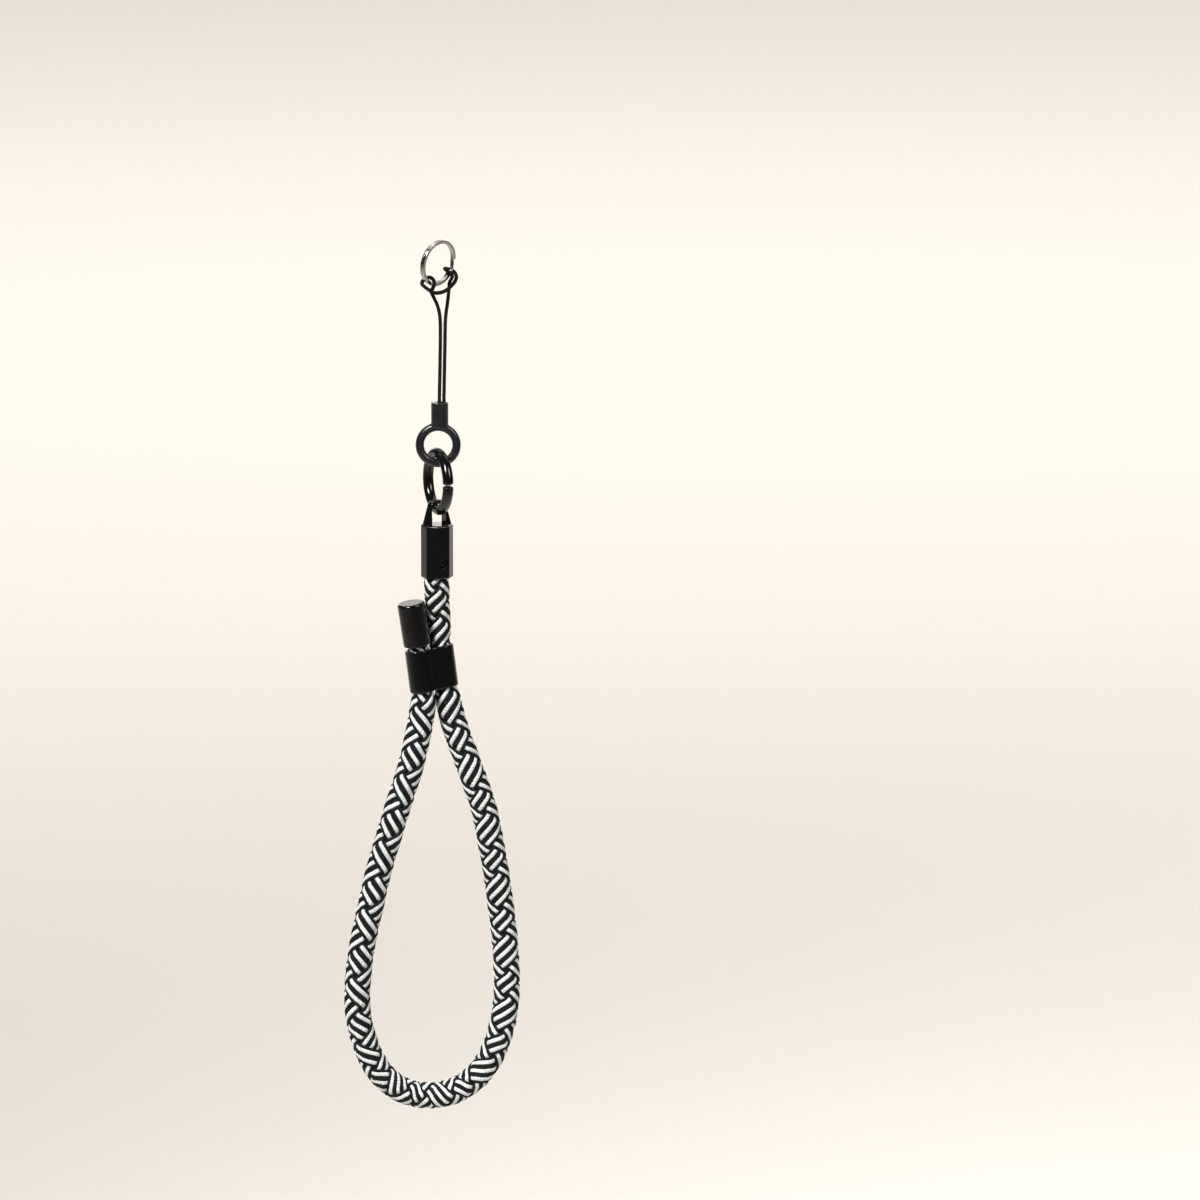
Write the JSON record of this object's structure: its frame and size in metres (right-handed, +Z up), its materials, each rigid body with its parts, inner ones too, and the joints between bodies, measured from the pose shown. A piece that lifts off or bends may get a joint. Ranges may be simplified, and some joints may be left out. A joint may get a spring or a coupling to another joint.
{
  "type": "camera wrist strap",
  "caption": "Braided rope wrist loop closed by a slider, hung by a ferrule, a jump ring, a cord eyelet and a hitched cord from a split ring.",
  "frame": {"origin": "inner top of the split ring, where it hangs", "axes": "+Z up along the hanging strap, +X to the right and +Y to the back of the side it is usually seen from"},
  "size_m": [0.0541, 0.0196, 0.2722],
  "materials": {
    "bright_steel": "bright",
    "black_cord": "matte woven",
    "black_moulding": "satin",
    "black_metal": "gloss black",
    "rope_yarn": "matte braid of white and blue-black yarns",
    "black_satin": "satin black"
  },
  "bodies": {
    "root": {"split_ring": "bright_steel", "cord_loop": "black_cord", "cord_eyelet": "black_moulding", "jump_ring": "black_metal", "eye_ferrule": "black_metal", "grub_screw": "black_metal", "rope": "rope_yarn", "slider": "black_satin", "end_cap": "black_satin"}
  },
  "joints": []
}
